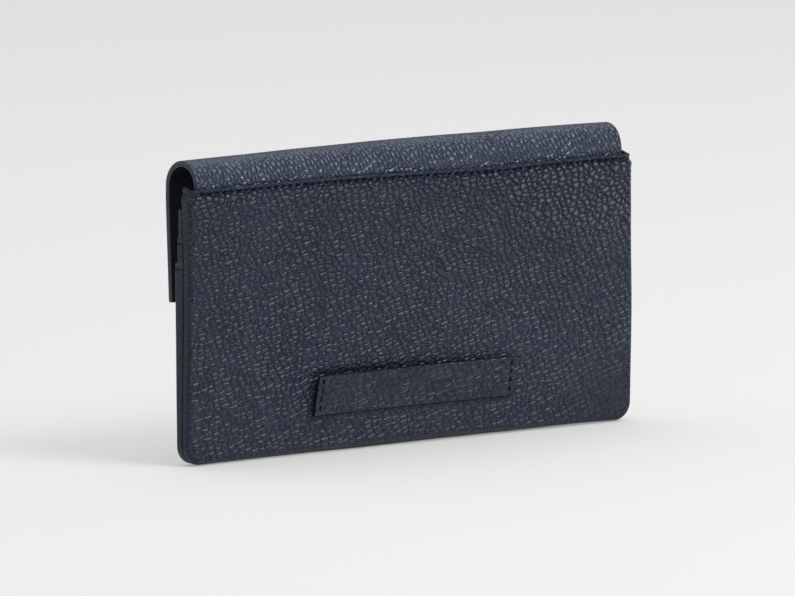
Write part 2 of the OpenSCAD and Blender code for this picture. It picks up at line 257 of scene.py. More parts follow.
def woven(name, colour, pitch, attribute="skin"):
    """Twill: warp and weft threads of the given pitch, stepped along the diagonal."""
    shader = Shader(name, attribute)
    apart = shader.node("SeparateXYZ", {0: shader.place})
    across = shader.times(apart.outputs[0], 2 * math.pi / pitch)
    along_place = apart.outputs[1] if attribute else apart.outputs[2]
    along = shader.times(along_place, 2 * math.pi / pitch)
    warp = shader.maths("SINE", across)
    diagonal = shader.maths("SINE", shader.times(shader.maths("ADD", across, along), 0.5))
    weft = shader.maths("SINE", along)
    height = shader.add(diagonal, 0.6, shader.times(warp, weft))
    fuzz = shader.noise(0.4 * MM, 4.0)
    height = shader.add(fuzz, 0.5, height)
    shader.bump(height, 0.06 * MM)
    # Painted shade: the weave's low places are painted darker
    share = shader.ramp(height, -0.8, 1.2)
    shader.put("Sheen Weight", 0.25)
    rough = shader.ramp(fuzz, 0.2, 0.8, 0.75, 0.92)
    return shader.paint(shader.mix(share, tinted(colour, 0.6), colour), rough)


def twisted_thread(name, colour):
    """Waxed thread: its plies run slantwise along each stitch."""
    shader = Shader(name)
    apart = shader.node("SeparateXYZ", {0: shader.place})
    slant = shader.maths("ADD", apart.outputs[0], apart.outputs[1])
    ply = shader.maths("SINE", shader.times(slant, 2 * math.pi / (0.5 * MM)))
    fibres = shader.noise(0.15 * MM, 3.0)
    height = shader.add(fibres, 0.6, ply)
    shader.bump(height, 0.05 * MM)
    rough = shader.ramp(fibres, 0.2, 0.8, 0.7, 0.85)
    # Painted highlight: the crests of the plies are painted lighter
    return shader.paint(shader.mix(shader.ramp(ply, -1, 1), colour, tinted(colour, 2.0)), rough, 0.12)


def satin_metal(name, colour):
    """Plated metal with fine brushing and faint handling marks."""
    shader = Shader(name, None)
    drawn_out = shader.vector("MULTIPLY", shader.place, (0.12, 1.0, 1.0))
    brushed = shader.noise(0.08 * MM, place=drawn_out)
    marks = shader.noise(2.5 * MM, 4.0)
    rough = shader.add(brushed, 0.12, shader.ramp(marks, 0.3, 0.8, 0.2, 0.36))
    shader.bump(brushed, 0.01 * MM)
    shader.put("Metallic", 1.0)
    return shader.paint(shader.mix(marks, tinted(colour, 0.72), colour), rough)


def paper_floor(name):
    """Pale seamless paper."""
    shader = Shader(name, None)
    fibres = shader.noise(2 * MM, 3.0)
    colour = shader.mix(fibres, srgb(231, 231, 231), srgb(229, 229, 229))
    return shader.paint(colour, 0.9, 0.1)


outer_leather = pebbled_leather("outer_leather", srgb(38, 49, 69), 158)
# The flap's outer leather: the rear panel's pebbled navy painted lighter, as painted light for the arch that
# faces up into the lamps, with its own slant and more gloss
painted_lit_arch_leather = pebbled_leather("painted_lit_arch_leather", srgb(58, 70, 93), 68, 0.5 * MM, 1.85 * MM, 0.55)
strap_leather = pebbled_leather("strap_leather", srgb(36, 46, 63), 150, 0.34 * MM, 2.3 * MM)
painted_edge = edge_paint("painted_edge", srgb(50, 58, 74))
# The strap's cut edge, painted near black: partly its own dark edge paint, partly painted shade for the gap
# behind the strap's ends, and it keeps the top edge from catching light
edge_paint_and_gap_shade = edge_paint("edge_paint_and_gap_shade", srgb(10, 10, 12), 0.08)
turned_edge = smooth_leather("turned_edge", srgb(28, 33, 45))
# Lining leather, near black: partly its own dark colour, partly painted shade for the wallet's inside, which
# the shadowless lamps would otherwise light
lining_leather = smooth_leather("lining_leather", srgb(19, 21, 28))
lining_cloth = woven("lining_cloth", srgb(120, 122, 128), 0.5 * MM)
tape_cloth = woven("tape_cloth", srgb(30, 33, 42), 0.45 * MM, None)
# Thread, near black: its own dark navy, painted darker still as painted shade for the stitch slots
thread = twisted_thread("thread", srgb(8, 9, 12))
nickel = satin_metal("nickel", srgb(205, 205, 208))


# ---- Mesh helpers ----


def link(name, data):
    """Puts an object with this mesh, light or camera into the scene."""
    made = bpy.data.objects.new(name, data)
    bpy.context.collection.objects.link(made)
    return made


def steps(*spans):
    """Ascending positions: each span is (start, end, about how far apart)."""
    parts = [np.linspace(a, b, max(2, round((b - a) / gap) + 1))[:-1] for a, b, gap in spans]
    return np.concatenate(parts + [np.array([spans[-1][1]])])


def ease(value, low, high):
    """A smooth step from 0 at low to 1 at high."""
    t = np.clip((value - low) / (high - low), 0, 1)
    return t * t * (3 - 2 * t)


def stack(x, y, z):
    """Grids of x, y and z, or plain numbers, as one grid of points."""
    return np.stack(np.broadcast_arrays(x, y, z), axis=-1)


def hill(value, middle, size):
    """A smooth hill of height 1 round the middle."""
    return np.exp(-(((value - middle) / size) ** 2))


def ripple(x, z, size, seed):
    """Smooth unevenness between about -1 and 1, the same on every run."""
    total = np.zeros(np.broadcast(x, z).shape)
    for k in range(1, 5):
        turn = 1.9 * k + seed
        wave = 2 * math.pi / size * (0.6 + 0.35 * k)
        total = total + np.sin(wave * (x * math.cos(turn) + z * math.sin(turn)) + 2.4 * k * seed) / k
    return total / 2


def add_layer(mesh, name, kind, domain, values, key="value"):
    mesh.attributes.new(name, kind, domain).data.foreach_set(key, values)


def new_object(name, vertices, faces, materials, skin, face_slots=None, sharp=None, grain_and_painted_light=None):
    """A mesh object from plain arrays. skin holds each vertex's place along the sheet."""
    mesh = bpy.data.meshes.new(name)
    mesh.from_pydata(vertices, [], faces)
    for material in materials:
        mesh.materials.append(material)
    if face_slots is not None:
        mesh.polygons.foreach_set("material_index", np.asarray(face_slots, np.int32))
    mesh.polygons.foreach_set("use_smooth", np.ones(len(mesh.polygons), bool))
    add_layer(mesh, "skin", "FLOAT_VECTOR", "POINT", np.asarray(skin, np.float32).ravel(), "vector")
    if grain_and_painted_light is not None:
        add_layer(mesh, "grain_and_painted_light", "FLOAT", "POINT", np.asarray(grain_and_painted_light, np.float32))
    if sharp is not None:
        pairs = np.zeros(2 * len(mesh.edges), np.int64)
        mesh.edges.foreach_get("vertices", pairs)
        ends = np.sort(pairs.reshape(-1, 2), axis=1)
        wanted = {tuple(pair) for pair in np.sort(sharp, axis=1).tolist()}
        flags = np.array([tuple(pair) in wanted for pair in ends.tolist()])
        add_layer(mesh, "sharp_edge", "BOOLEAN", "EDGE", flags)
    mesh.update()
    return link(name, mesh)


def solid_sheet(
    name, points, inward, thickness, skin, materials, bulge=0.3 * MM, keep=None, cuts=None, grain_and_painted_light=None
):
    """A closed sheet from a grid of outer points and the unit directions into its thickness.

    The rim round the grid, and round any window left out by keep, swells outwards by bulge. On the
    grid rows that cuts marks the rim stays flat and sharp, because another piece meets it there.
    materials are those of the outer face, the rim and the inner face.
    """
    rows, columns = points.shape[:2]
    count = rows * columns
    outer = points.reshape(-1, 3)
    into = inward.reshape(-1, 3)
    along = skin.reshape(-1, 3)
    corner = (np.arange(rows - 1)[:, None] * columns + np.arange(columns - 1)[None, :]).ravel()
    if keep is not None:
        corner = corner[keep.ravel()]
    quads = np.stack([corner, corner + columns, corner + columns + 1, corner + 1], axis=1)
    first = outer[quads[:, 1]] - outer[quads[:, 0]]
    second = outer[quads[:, 3]] - outer[quads[:, 0]]
    facing = (np.cross(first, second) * into[quads[:, 0]]).sum(axis=1)
    if np.median(np.sign(facing)) > 0:
        quads = quads[:, ::-1]
    starts = quads.ravel()
    ends = np.roll(quads, -1, axis=1).ravel()
    lone = ~np.isin(starts * count + ends, ends * count + starts)
    starts, ends = starts[lone], ends[lone]
    away = np.zeros((count, 3))
    side = np.cross(outer[ends] - outer[starts], -into[starts])
    side /= np.linalg.norm(side, axis=1)[:, None] + 1e-12
    np.add.at(away, starts, side)
    np.add.at(away, ends, side)
    rim = np.unique(np.concatenate([starts, ends]))
    away = away[rim] / (np.linalg.norm(away[rim], axis=1)[:, None] + 1e-12)
    amount = np.full(len(rim), bulge)
    flat = np.zeros(count, bool)
    if cuts is not None:
        flat = cuts.ravel()
        amount[flat[rim]] = 0
    rings = 3
    turn = math.pi / (rings + 1) * np.arange(1, rings + 1)
    ring_points = []
    for a in turn:
        swollen = outer[rim] + away * (amount * math.sin(a))[:, None]
        ring_points.append(swollen + into[rim] * thickness * (1 - math.cos(a)) / 2)
    inner = outer + into * thickness
    vertices = np.concatenate([outer, inner, *ring_points])
    ring_skin = [along[rim] + np.array([0, 0, a / math.pi * thickness]) for a in turn]
    skins = np.concatenate([along, along, *ring_skin])
    relief = np.ones(count) if grain_and_painted_light is None else grain_and_painted_light.ravel()
    relief = np.concatenate([relief, relief] + [relief[rim]] * rings)
    order = np.full(count, -1)
    order[rim] = np.arange(len(rim))
    levels = [(starts, ends)]
    for k in range(rings):
        base = 2 * count + k * len(rim)
        levels.append((base + order[starts], base + order[ends]))
    levels.append((count + starts, count + ends))
    rim_faces = [np.stack([b, a, c, d], axis=1) for (a, b), (c, d) in zip(levels[:-1], levels[1:])]
    rim_faces = np.concatenate(rim_faces)
    faces = np.concatenate([quads, quads[:, ::-1] + count, rim_faces])
    slots = np.concatenate([np.zeros(len(quads)), np.full(len(quads), 2), np.full(len(rim_faces), 1)])
    used = np.unique(faces)
    renumber = np.full(len(vertices), -1)
    renumber[used] = np.arange(len(used))
    both = flat[starts] & flat[ends]
    sharp = np.stack([starts[both], ends[both]], 1)
    sharp = renumber[np.concatenate([sharp, sharp + count])] if len(sharp) else None
    faces = renumber[faces].tolist()
    return new_object(name, vertices[used], faces, materials, skins[used], slots, sharp, relief[used])


def square_to_round(x, z, centre_x, centre_z, radius):
    """Moves grid points beyond the two bottom corner centres onto round corners."""
    a = (np.abs(x) - centre_x) / radius
    b = (centre_z - z) / radius
    inside = (a > 0) & (b > 0)
    a = np.clip(a, 0, 1)
    b = np.clip(b, 0, 1)
    round_x = np.sign(x) * (centre_x + radius * a * np.sqrt(1 - b * b / 2))
    round_z = centre_z - radius * b * np.sqrt(1 - a * a / 2)
    return np.where(inside, round_x, x), np.where(inside, round_z, z)


def turned_grid(face_y, facing, top_z, edge_r, wrap, x_gap, z_spans, half_w=HALF_W, foot=0.0):
    """Grid of a panel whose sides and bottom are turned round an edge of radius edge_r.

    facing is +1 for a panel that faces +Y and -1 for one that faces -Y; wrap is how far the turned
    part reaches from the face. Gives the points, the directions inwards and the flat places.
    """
    spread = edge_r * math.pi / 2 + max(0.0, wrap - edge_r)
    core_half = half_w - edge_r
    core_r = CORNER_R - edge_r
    centre_x = core_half - core_r
    centre_z = foot + CORNER_R
    xs = steps(
        (-core_half - spread, -centre_x, 0.8 * MM),
        (-centre_x, centre_x, x_gap),
        (centre_x, core_half + spread, 0.8 * MM),
    )
    foot_z = centre_z - core_r - spread
    zs = steps((foot_z, centre_z, 0.8 * MM), *z_spans(centre_z, top_z))
    flat_x, flat_z = np.meshgrid(xs, zs, indexing="ij")
    flat_x, flat_z = square_to_round(flat_x, flat_z, centre_x, centre_z, core_r + spread)
    over_x = np.abs(flat_x) - centre_x
    over_z = centre_z - flat_z
    reach = np.hypot(np.maximum(over_x, 0), np.maximum(over_z, 0))
    normal_x = np.sign(flat_x) * np.maximum(over_x, 0) / np.maximum(reach, 1e-9)
    normal_z = -np.maximum(over_z, 0) / np.maximum(reach, 1e-9)
    beyond = np.maximum(reach - core_r, 0)
    turn = np.clip(beyond / max(edge_r, 1e-9), 0, math.pi / 2)
    out = edge_r * np.sin(turn)
    depth = edge_r * (1 - np.cos(turn)) + np.maximum(beyond - edge_r * math.pi / 2, 0)
    x = flat_x - normal_x * (beyond - out)
    z = flat_z - normal_z * (beyond - out)
    y = face_y - facing * depth
    points = stack(x, y, z)
    side = np.sin(turn)
    inward = stack(-normal_x * side, -facing * np.cos(turn), -normal_z * side)
    flat = stack(flat_x, flat_z, 0.0)
    return points, inward, flat


def even_rows(gap):
    """Row spans for turned_grid, evenly spaced."""
    return lambda low, high: [(low, high, gap)]


def seam_rows(gap, seam_z):
    """Row spans for turned_grid that close up round a line of stitches."""
    return lambda low, high: [(low, seam_z - 3 * MM, gap), (seam_z - 3 * MM, high, 0.28 * MM)]


def stretched(corner, middle, size):
    """A unit cube's corner, moved to that of a box."""
    return Vector([middle[i] + corner[i] * size[i] for i in range(3)])


def box_mesh(name, low, high, bevel, body):
    """A box with rounded edges."""
    mesh = bmesh.new()
    bmesh.ops.create_cube(mesh, size=1)
    size = Vector(high) - Vector(low)
    middle = (Vector(high) + Vector(low)) / 2
    for vertex in mesh.verts:
        vertex.co = stretched(vertex.co, middle, size)
    bmesh.ops.bevel(mesh, geom=mesh.edges[:], offset=bevel, segments=3, profile=0.5, affect="EDGES")
    return finish_metal(name, mesh, body)


def finish_metal(name, mesh, body):
    """Turns a bmesh into a smooth-shaded nickel piece that rides on a body."""
    bmesh.ops.recalc_face_normals(mesh, faces=mesh.faces[:])
    data = bpy.data.meshes.new(name)
    mesh.to_mesh(data)
    mesh.free()
    data.materials.append(nickel)
    data.polygons.foreach_set("use_smooth", np.ones(len(data.polygons), bool))
    data.set_sharp_from_angle(angle=math.radians(35))
    made = link(name, data)
    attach(made, body)
    return made


def lathe(name, profile, centre, body, sides=56, upright=False):
    """A round piece from a closed loop of (radius, place along its axis, along Y or upright)."""
    mesh = bmesh.new()
    rings = []
    for k in range(sides):
        angle = 2 * math.pi * k / sides
        ring = []
        for radius, along in profile:
            x = centre.x + radius * math.cos(angle)
            out = radius * math.sin(angle)
            place = (x, centre.y + out, along) if upright else (x, along, centre.z + out)
            ring.append(mesh.verts.new(place))
        rings.append(ring)
    count = len(profile)
    for k in range(sides):
        here, after = rings[k], rings[(k + 1) % sides]
        for i in range(count):
            j = (i + 1) % count
            mesh.faces.new((here[i], here[j], after[j], after[i]))
    bmesh.ops.remove_doubles(mesh, verts=mesh.verts[:], dist=1e-6)
    return finish_metal(name, mesh, body)


def plate(name, outline, low_y, high_y, bevel, body):
    """A flat piece pulled along Y from an outline of (x, z) points."""
    mesh = bmesh.new()
    near = [mesh.verts.new((x, low_y, z)) for x, z in outline]
    far = [mesh.verts.new((x, high_y, z)) for x, z in outline]
    mesh.faces.new(near)
    mesh.faces.new(far[::-1])
    for i in range(len(outline)):
        j = (i + 1) % len(outline)
        mesh.faces.new((near[j], near[i], far[i], far[j]))
    rim = [edge for edge in mesh.edges if abs(edge.verts[0].co.y - edge.verts[1].co.y) < 1e-7]
    bmesh.ops.bevel(mesh, geom=rim, offset=bevel, segments=3, profile=0.5, affect="EDGES")
    return finish_metal(name, mesh, body)


def stitches(name, node, places, facing, along=(1, 0, 0), length=2.5 * MM, radius=0.3 * MM):
    """Threads between needle holes: each is a short rod whose ends dive into the leather."""
    sag = 0.12 * MM
    around, rings = 8, 7
    along = np.asarray(along, float)
    outward = np.array([0.0, facing, 0.0])
    across = np.cross(along, outward)
    travel = np.linspace(-1, 1, rings)
    angle = 2 * math.pi * np.arange(around) / around
    vertices, faces, skins = [], [], []
    for n, place in enumerate(places):
        base = len(vertices)
        for t in travel:
            taper = radius * math.sqrt(max(0.08, 1 - abs(t) ** 5))
            dive = (sag + 1.3 * radius) * abs(t) ** 6
            centre = np.asarray(place, float) + along * (t * length / 2) - outward * dive
            for a in angle:
                vertices.append(centre + taper * (across * math.cos(a) + outward * math.sin(a)))
                skins.append((t * length / 2 + 0.01 * n, a * radius, 0.0))
        for k in range(rings - 1):
            for i in range(around):
                j = (i + 1) % around
                a, b = base + k * around, base + (k + 1) * around
                faces.append((a + i, a + j, b + j, b + i))
        faces.append(tuple(base + i for i in range(around))[::-1])
        faces.append(tuple(base + (rings - 1) * around + i for i in range(around)))
    made = new_object(name, vertices, faces, [thread], skins)
    mesh = bmesh.new()
    mesh.from_mesh(made.data)
    bmesh.ops.recalc_face_normals(mesh, faces=mesh.faces[:])
    mesh.to_mesh(made.data)
    mesh.free()
    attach(made, "body")
    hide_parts(node)


def stitch_line(low, high, pitch=STITCH_PITCH):
    """Middles of the stitches that fill a stretch."""
    count = int((high - low) / pitch + 1e-6)
    start = (low + high - (count - 1) * pitch) / 2
    return start + pitch * np.arange(count)


# ---- Shape of the body ----

# The seam's line sits under the rear panel's hem
TOP_SEAM_Z = REAR_TOP - 1.4 * MM
GROOVE_W = 0.5 * MM
REAR_STITCHES = stitch_line(-FLAP_HALF, FLAP_HALF)
# Depths below the rear face: the open note compartment, the rows' back and the whole body
NOTE_GAP = (1.4 * MM, REAR_Y - divider_high.y)
ROWS_DEPTH = REAR_Y - divider_low.y
BODY_DEPTH = REAR_Y - front_low.y
# How the wallet stands: its rear foot arches up, and rear face and seam draw in towards the foot
BOTTOM_BOW = 1.7 * MM
FACE_TAPER = 4.6 * MM
SEAM_TAPER = 2.0 * MM


def taper(x, y, z):
    """How far the body draws in towards the card side near its foot, most at the +X end.

    The note compartment closes up there, so the rear face draws in more than the seam behind the
    rows, and the front face stays.
    """
    depth = REAR_Y - y
    face = FACE_TAPER * (1 - np.clip(z / REAR_TOP, 0, 1)) ** 0.9
    seam = SEAM_TAPER * np.clip(1 - z / front_high.z, 0, 1)
    through_gap = np.clip((depth - NOTE_GAP[0]) / (NOTE_GAP[1] - NOTE_GAP[0]), 0, 1)
    through_rows = np.clip((depth - ROWS_DEPTH) / (BODY_DEPTH - ROWS_DEPTH), 0, 1)
    end = 0.55 + 0.45 * x / HALF_W
    return end * (face + (seam - face) * through_gap) * (1 - through_rows)


def settle(points):
    """The body's shape when it stands: it tapers, its rear bottom edge arches up, its -X side swells."""
    x, y, z = np.moveaxis(points, -1, 0)
    up = np.clip(z / REAR_TOP, 0, 1)
    bow = BOTTOM_BOW * (1 - (x / HALF_W) ** 2) * (1 - up) ** 2 * ease(y, SEAM_Y, REAR_Y)
    swell = np.sin(math.pi * up) * np.clip(np.abs(x) / HALF_W, 0, 1) ** 5
    swell = swell * np.where(x < 0, -1.1 * MM, -0.25 * MM)
    return stack(x + swell, y - taper(x, y, z), z + bow)


def top_wave(x):
    """How far the rear panel's top edge lies above or below its middle height along its length."""
    crest = 0.6 * MM * hill(x, 45 * MM, 38 * MM)
    dip = -0.6 * MM * hill(x, -36 * MM, 20 * MM)
    return crest + dip + 0.3 * MM * x / HALF_W - 0.85 * MM


def rear_relief(x, z):
    """Height of the rear panel's face over a flat one."""
    phase = np.cos(2 * math.pi * (x - REAR_STITCHES[0]) / STITCH_PITCH)
    from_seam = z - TOP_SEAM_Z
    within = ease(FLAP_HALF + 1.5 * MM - np.abs(x), 0, 1 * MM)
    groove = -0.6 * MM * hill(from_seam, 0, GROOVE_W) * (1 + 0.6 * phase)
    below = np.exp(-np.abs(np.minimum(from_seam, 0)) / (1.6 * MM)) * (from_seam < 0)
    pucker = -0.16 * MM * phase * below * ease(-from_seam, 0.3 * MM, 1.2 * MM)
    hem = 0.18 * MM * ease(from_seam, 0.3 * MM, 0.8 * MM)
    swell = 1.0 * MM * ease(-from_seam, 0.3 * MM, 1.6 * MM) * np.exp(from_seam / (7 * MM))
    uneven = 0.16 * MM * ripple(x, z, 60 * MM, 1.3)
    mound = 1.3 * MM * hill(x, -74 * MM, 19 * MM) * hill(from_seam, -17 * MM, 13 * MM)
    return (groove + pucker) * within + hem + swell + mound + uneven + strap_crease(x, z)


def side_calm_and_shade(inward):
    """The pebbles are pulled flat where the leather turns round an edge, and the low value there also
    paints the turned walls darker as painted shade.
    """
    return 0.2 + 0.8 * inward[..., 1] ** 2


def rear_grain_and_light(x, z):
    """Strength of the pebbles, which also sets the painted light: weak on the flattened hem, strong towards
    the top and the -X corner. Where it falls low, as in the low -X corner, the colour is painted darker as
    painted shade; where it rises over 1, near the top and most just under the seam and at the top -X
    corner, the pebbles' crowns are painted light as painted highlights.
    """
    hem = ease(TOP_SEAM_Z - z, 0, 0.9 * MM)
    height = 0.68 + 0.37 * ease(z, 12 * MM, 85 * MM)
    low_corner = ease(-x, 55 * MM, 90 * MM) * ease(-z, -35 * MM, -10 * MM)
    high_corner = ease(-x, 20 * MM, 80 * MM) * ease(z, 45 * MM, 90 * MM)
    under_seam = np.exp(-np.maximum(TOP_SEAM_Z - z, 0) / (4 * MM))
    return (0.5 + 0.5 * hem) * height * (1 - 0.35 * low_corner + 0.4 * high_corner + 0.3 * under_seam)


STRAP_SLANT = 1.6 * MM
STRAP_SHIFT = 2.4 * MM
STRAP_T = 1.2 * MM
# The strap is cut from another place of the hide than the panel behind it
STRAP_CUT_X = 0.3


def strap_edges(z):
    """The x of the strap's -X and +X ends at a height: both ends lean the same way."""
    middle = (strap_low.x + strap_high.x) / 2 - STRAP_SHIFT
    half = (strap_high.x - strap_low.x) / 2 - STRAP_SLANT / 2
    lean = STRAP_SLANT * (0.5 - (z - strap_low.z) / (strap_high.z - strap_low.z))
    return middle - half + lean, middle + half + lean


def strap_crease(x, z):
    """The rear panel puffs up above the strap and dips along the strap's top edge and +X end."""
    left, right = strap_edges(z)
    over = z - strap_high.z
    fade = 2 * MM
    beside = ease(x, left - fade, left + fade) * ease(-x, -right - fade, -right + fade)
    dip = -0.75 * MM * hill(over, 0, 1.1 * MM) * beside
    puff = 0.25 * MM * hill(over, 4 * MM, 2.6 * MM) * beside
    return dip * ease(x, left, right * 0.6) + puff


def build_rear_panel():
    """The rear panel, with its waved top edge, turned over the hem and the side and bottom walls."""
    wrap = REAR_Y - SEAM_Y - 0.3 * MM
    rows = seam_rows(1.0 * MM, TOP_SEAM_Z)
    points, inward, flat = turned_grid(REAR_Y, 1, REAR_TOP, 1.6 * MM, wrap, STITCH_PITCH / 6, rows)
    relief = rear_relief(flat[..., 0], flat[..., 1])
    points = points - inward * relief[..., None]
    rise = ease(points[..., 2], REAR_TOP - 24 * MM, REAR_TOP - 2 * MM)
    points[..., 2] += top_wave(points[..., 0]) * rise
    behind = ease(REAR_Y - points[..., 1], 1.5 * MM, 5 * MM)
    points[..., 2] += 0.9 * MM * behind * ease(points[..., 2], REAR_TOP - 8 * MM, REAR_TOP)
    points = settle(points)
    # Pebble strength, which also paints the turned walls darker and the pebbles' crowns light: painted shade
    # and painted highlights
    grain_and_painted_light = rear_grain_and_light(flat[..., 0], flat[..., 1]) * side_calm_and_shade(inward)
    materials = [outer_leather, turned_edge, turned_edge]
    made = solid_sheet("rear_leather", points, inward, LEATHER_T, flat, materials, 0.35 * MM, grain_and_painted_light=grain_and_painted_light)
    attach(made, "body")
    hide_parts("rear_panel")


def build_top_stitching():
    seam_y = REAR_Y - 0.62 * MM
    places = np.array([(x, seam_y, TOP_SEAM_Z + top_wave(x)) for x in REAR_STITCHES])
    thin = {"length": 2.4 * MM, "radius": 0.25 * MM}
    stitches("top_seam_thread", "top_stitching", settle(places), 1, **thin)


# ---- Strap ----


def strap_stand(x, z):
    """How far the strap stands off the rear panel: along its top edge and at its +X end."""
    low_x, high_x = strap_edges(z)
    up = (z - strap_low.z) / (strap_high.z - strap_low.z)
    stand = 0.25 * MM + 0.75 * MM * up**2 * ease(x, low_x, high_x * 0.5)
    stand = stand + 0.5 * MM * ease(x, high_x - 4 * MM, high_x)
    return stand + 0.1 * MM * ripple(x, z, 30 * MM, 0.7)


def strap_stitch_x(side, z):
    """The line of stitches near an end of the strap: well inside the +X end, right at the -X one."""
    low_x, high_x = strap_edges(z)
    return high_x - 2.0 * MM if side > 0 else low_x + 1.0 * MM


def build_strap():
    edge = 0.4 * MM
    share = np.linspace(0, 1, 220)
    zs = steps((strap_low.z - 0.4 * MM, strap_high.z - edge, 0.45 * MM))
    grid_share, z = np.meshgrid(share, zs, indexing="ij")
    low_x, high_x = strap_edges(z)
    x = low_x + (high_x - low_x + 0.4 * MM) * grid_share
    stand = strap_stand(x, z)
    for side in (-1, 1):
        stand = stand - 0.3 * MM * hill(x, strap_stitch_x(side, z), GROOVE_W)
    points = stack(x, REAR_Y + STRAP_T + stand, z)
    inward = np.zeros_like(points)
    inward[..., 1] = -1
    flat = stack(x + STRAP_CUT_X, z, 0.0)
    materials = [strap_leather, edge_paint_and_gap_shade, lining_leather]
    made = solid_sheet("strap_leather", settle(points), inward, STRAP_T, flat, materials, edge)
    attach(made, "body")
    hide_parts("rear_strap")


def build_strap_stitching():
    direction = Vector((-STRAP_SLANT, 0, strap_high.z - strap_low.z)).normalized()
    for node in ("strap_stitching_left", "strap_stitching_right"):
        side = 1 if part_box(node)[0].x > 0 else -1
        heights = stitch_line(strap_low.z + 0.6 * MM, strap_high.z - 0.6 * MM)
        x = np.array([strap_stitch_x(side, z) for z in heights])
        y = REAR_Y + STRAP_T + strap_stand(x, heights) - 0.14 * MM
        places = settle(stack(x, y, heights))
        stitches(node.replace("stitching", "thread"), node, places, 1, direction, 2.3 * MM)


# ---- Compartments and card rows ----


def tucked(points, below_z, amount):
    """Draws a row's sides and foot in where the next row's turned edges cover them."""
    x, y, z = np.moveaxis(points, -1, 0)
    hidden = ease(-z, -below_z, -below_z + 1.2 * MM)
    x = x * (1 - hidden * amount / HALF_W)
    z = z + amount * ease(-z, -12 * MM, 0)
    return stack(x, y, z)


ROW_SEAM_DROP = 1.6 * MM
ROW_STITCHES = stitch_line(-HALF_W + 2.5 * MM, HALF_W - 2.5 * MM)
ROW_LUMP = 55 * MM


def row_relief(flat, row_top, seed, stitched):
    """Gentle unevenness of a card row's face, and the groove along its stitched top edge."""
    x, z = flat[..., 0], flat[..., 1]
    if not stitched:
        return 0.1 * MM * ripple(x, z, ROW_LUMP, seed)
    phase = np.cos(2 * math.pi * (x - ROW_STITCHES[0]) / STITCH_PITCH)
    groove = -0.28 * MM * hill(z, row_top - ROW_SEAM_DROP, GROOVE_W) * (1 + 0.4 * phase)
    return groove + 0.12 * MM * ripple(x, z, ROW_LUMP, seed)


def build_row(name, node, thickness, cover_z, seed, window=None):
    """A card row: its face, stitched top edge or zip window, and turned sides."""
    low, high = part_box(node)
    wrap = divider_low.y - low.y
    spans = window_rows(window, high.z) if window else seam_rows(1.2 * MM, high.z - ROW_SEAM_DROP)
    points, inward, flat = turned_grid(low.y, -1, high.z, 0.7 * MM, wrap, STITCH_PITCH / 5, spans)
    points = points - inward * row_relief(flat, high.z, seed, not window)[..., None]
    if cover_z:
        points = tucked(points, cover_z, 1.5 * MM)
    keep = window_mask(flat, window) if window else None
    materials = [outer_leather, turned_edge, lining_leather]
    # Pebble strength, low on the turned sides, where the colour is painted darker as painted shade
    grain_and_painted_light = 0.8 * side_calm_and_shade(inward)
    made = solid_sheet(name, settle(points), inward, thickness, flat, materials, keep=keep, grain_and_painted_light=grain_and_painted_light)
    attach(made, "body")
    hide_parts(node)


def window_rows(window, top_z):
    """Row spans that put grid lines on the window's lower and upper edges."""
    sill, lintel = window[1], window[3]
    return lambda low, high: [
        (low, sill - 4 * MM, 1.2 * MM),
        (sill - 4 * MM, sill, 0.4 * MM),
        (sill, lintel, 0.6 * MM),
        (lintel, top_z, 0.3 * MM),
    ]


def window_mask(flat, window):
    """True for the grid's squares that lie outside the window (low x, low z, high x, high z)."""
    x = (flat[:-1, :-1, 0] + flat[1:, 1:, 0]) / 2
    z = (flat[:-1, :-1, 1] + flat[1:, 1:, 1]) / 2
    inside = (x > window[0]) & (x < window[2]) & (z > window[1]) & (z < window[3])
    return ~inside


ZIP_Z = turns["zip_pull_turn"].z
STOP_LOW, STOP_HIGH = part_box("zip_end_stops")
WINDOW_HALF = 2.7 * MM
WINDOW = (STOP_LOW.x - 0.2 * MM, ZIP_Z - WINDOW_HALF, STOP_HIGH.x + 0.2 * MM, ZIP_Z + WINDOW_HALF)
# Needle thread of the zip's window and of the middle column
FINE_STITCH = {"length": 2.3 * MM, "radius": 0.26 * MM}
SUNK = 0.02 * MM


def build_rows():
    overlap = 0.4 * MM
    build_row("front_leather", "front_panel", 1.1 * MM, None, 2.1)
    build_row("card_strip_leather", "card_strip", 0.8 * MM, front_high.z - overlap, 3.3)
    build_row("zip_panel_leather", "zip_panel", 0.8 * MM, strip_high.z - overlap, 4.2, WINDOW)


def build_row_stitching():
    rows = (
        ("card_strip_thread", "card_strip_stitching", strip_low.y, strip_high.z),
        ("front_panel_thread", "front_panel_stitching", front_low.y, front_high.z),
    )
    for name, node, face_y, top_z in rows:
        places = [(x, face_y + 0.22 * MM, top_z - ROW_SEAM_DROP) for x in ROW_STITCHES]
        stitches(name, node, places, -1)


def build_window_stitching():
    places = []
    for z in (WINDOW[1] - 1.1 * MM, WINDOW[3] + 1.1 * MM):
        places += [(x, zip_low.y - SUNK, z) for x in stitch_line(WINDOW[0] - MM, WINDOW[2] + MM)]
    stitches("zip_window_thread", "zip_window_stitching", places, -1, **FINE_STITCH)


def build_column_stitching():
    low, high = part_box("card_column_stitching")
    socket_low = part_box("snap_socket_cap")[0]
    lower = stitch_line(low.z, socket_low.z - MM)
    upper = stitch_line(front_high.z + 0.2 * MM, high.z + 0.8 * MM)
    places = [(0, front_low.y - SUNK, z) for z in lower] + [(0, strip_low.y - SUNK, z) for z in upper]
    stitches("card_column_thread", "card_column_stitching", places, -1, (0, 0, 1), **FINE_STITCH)


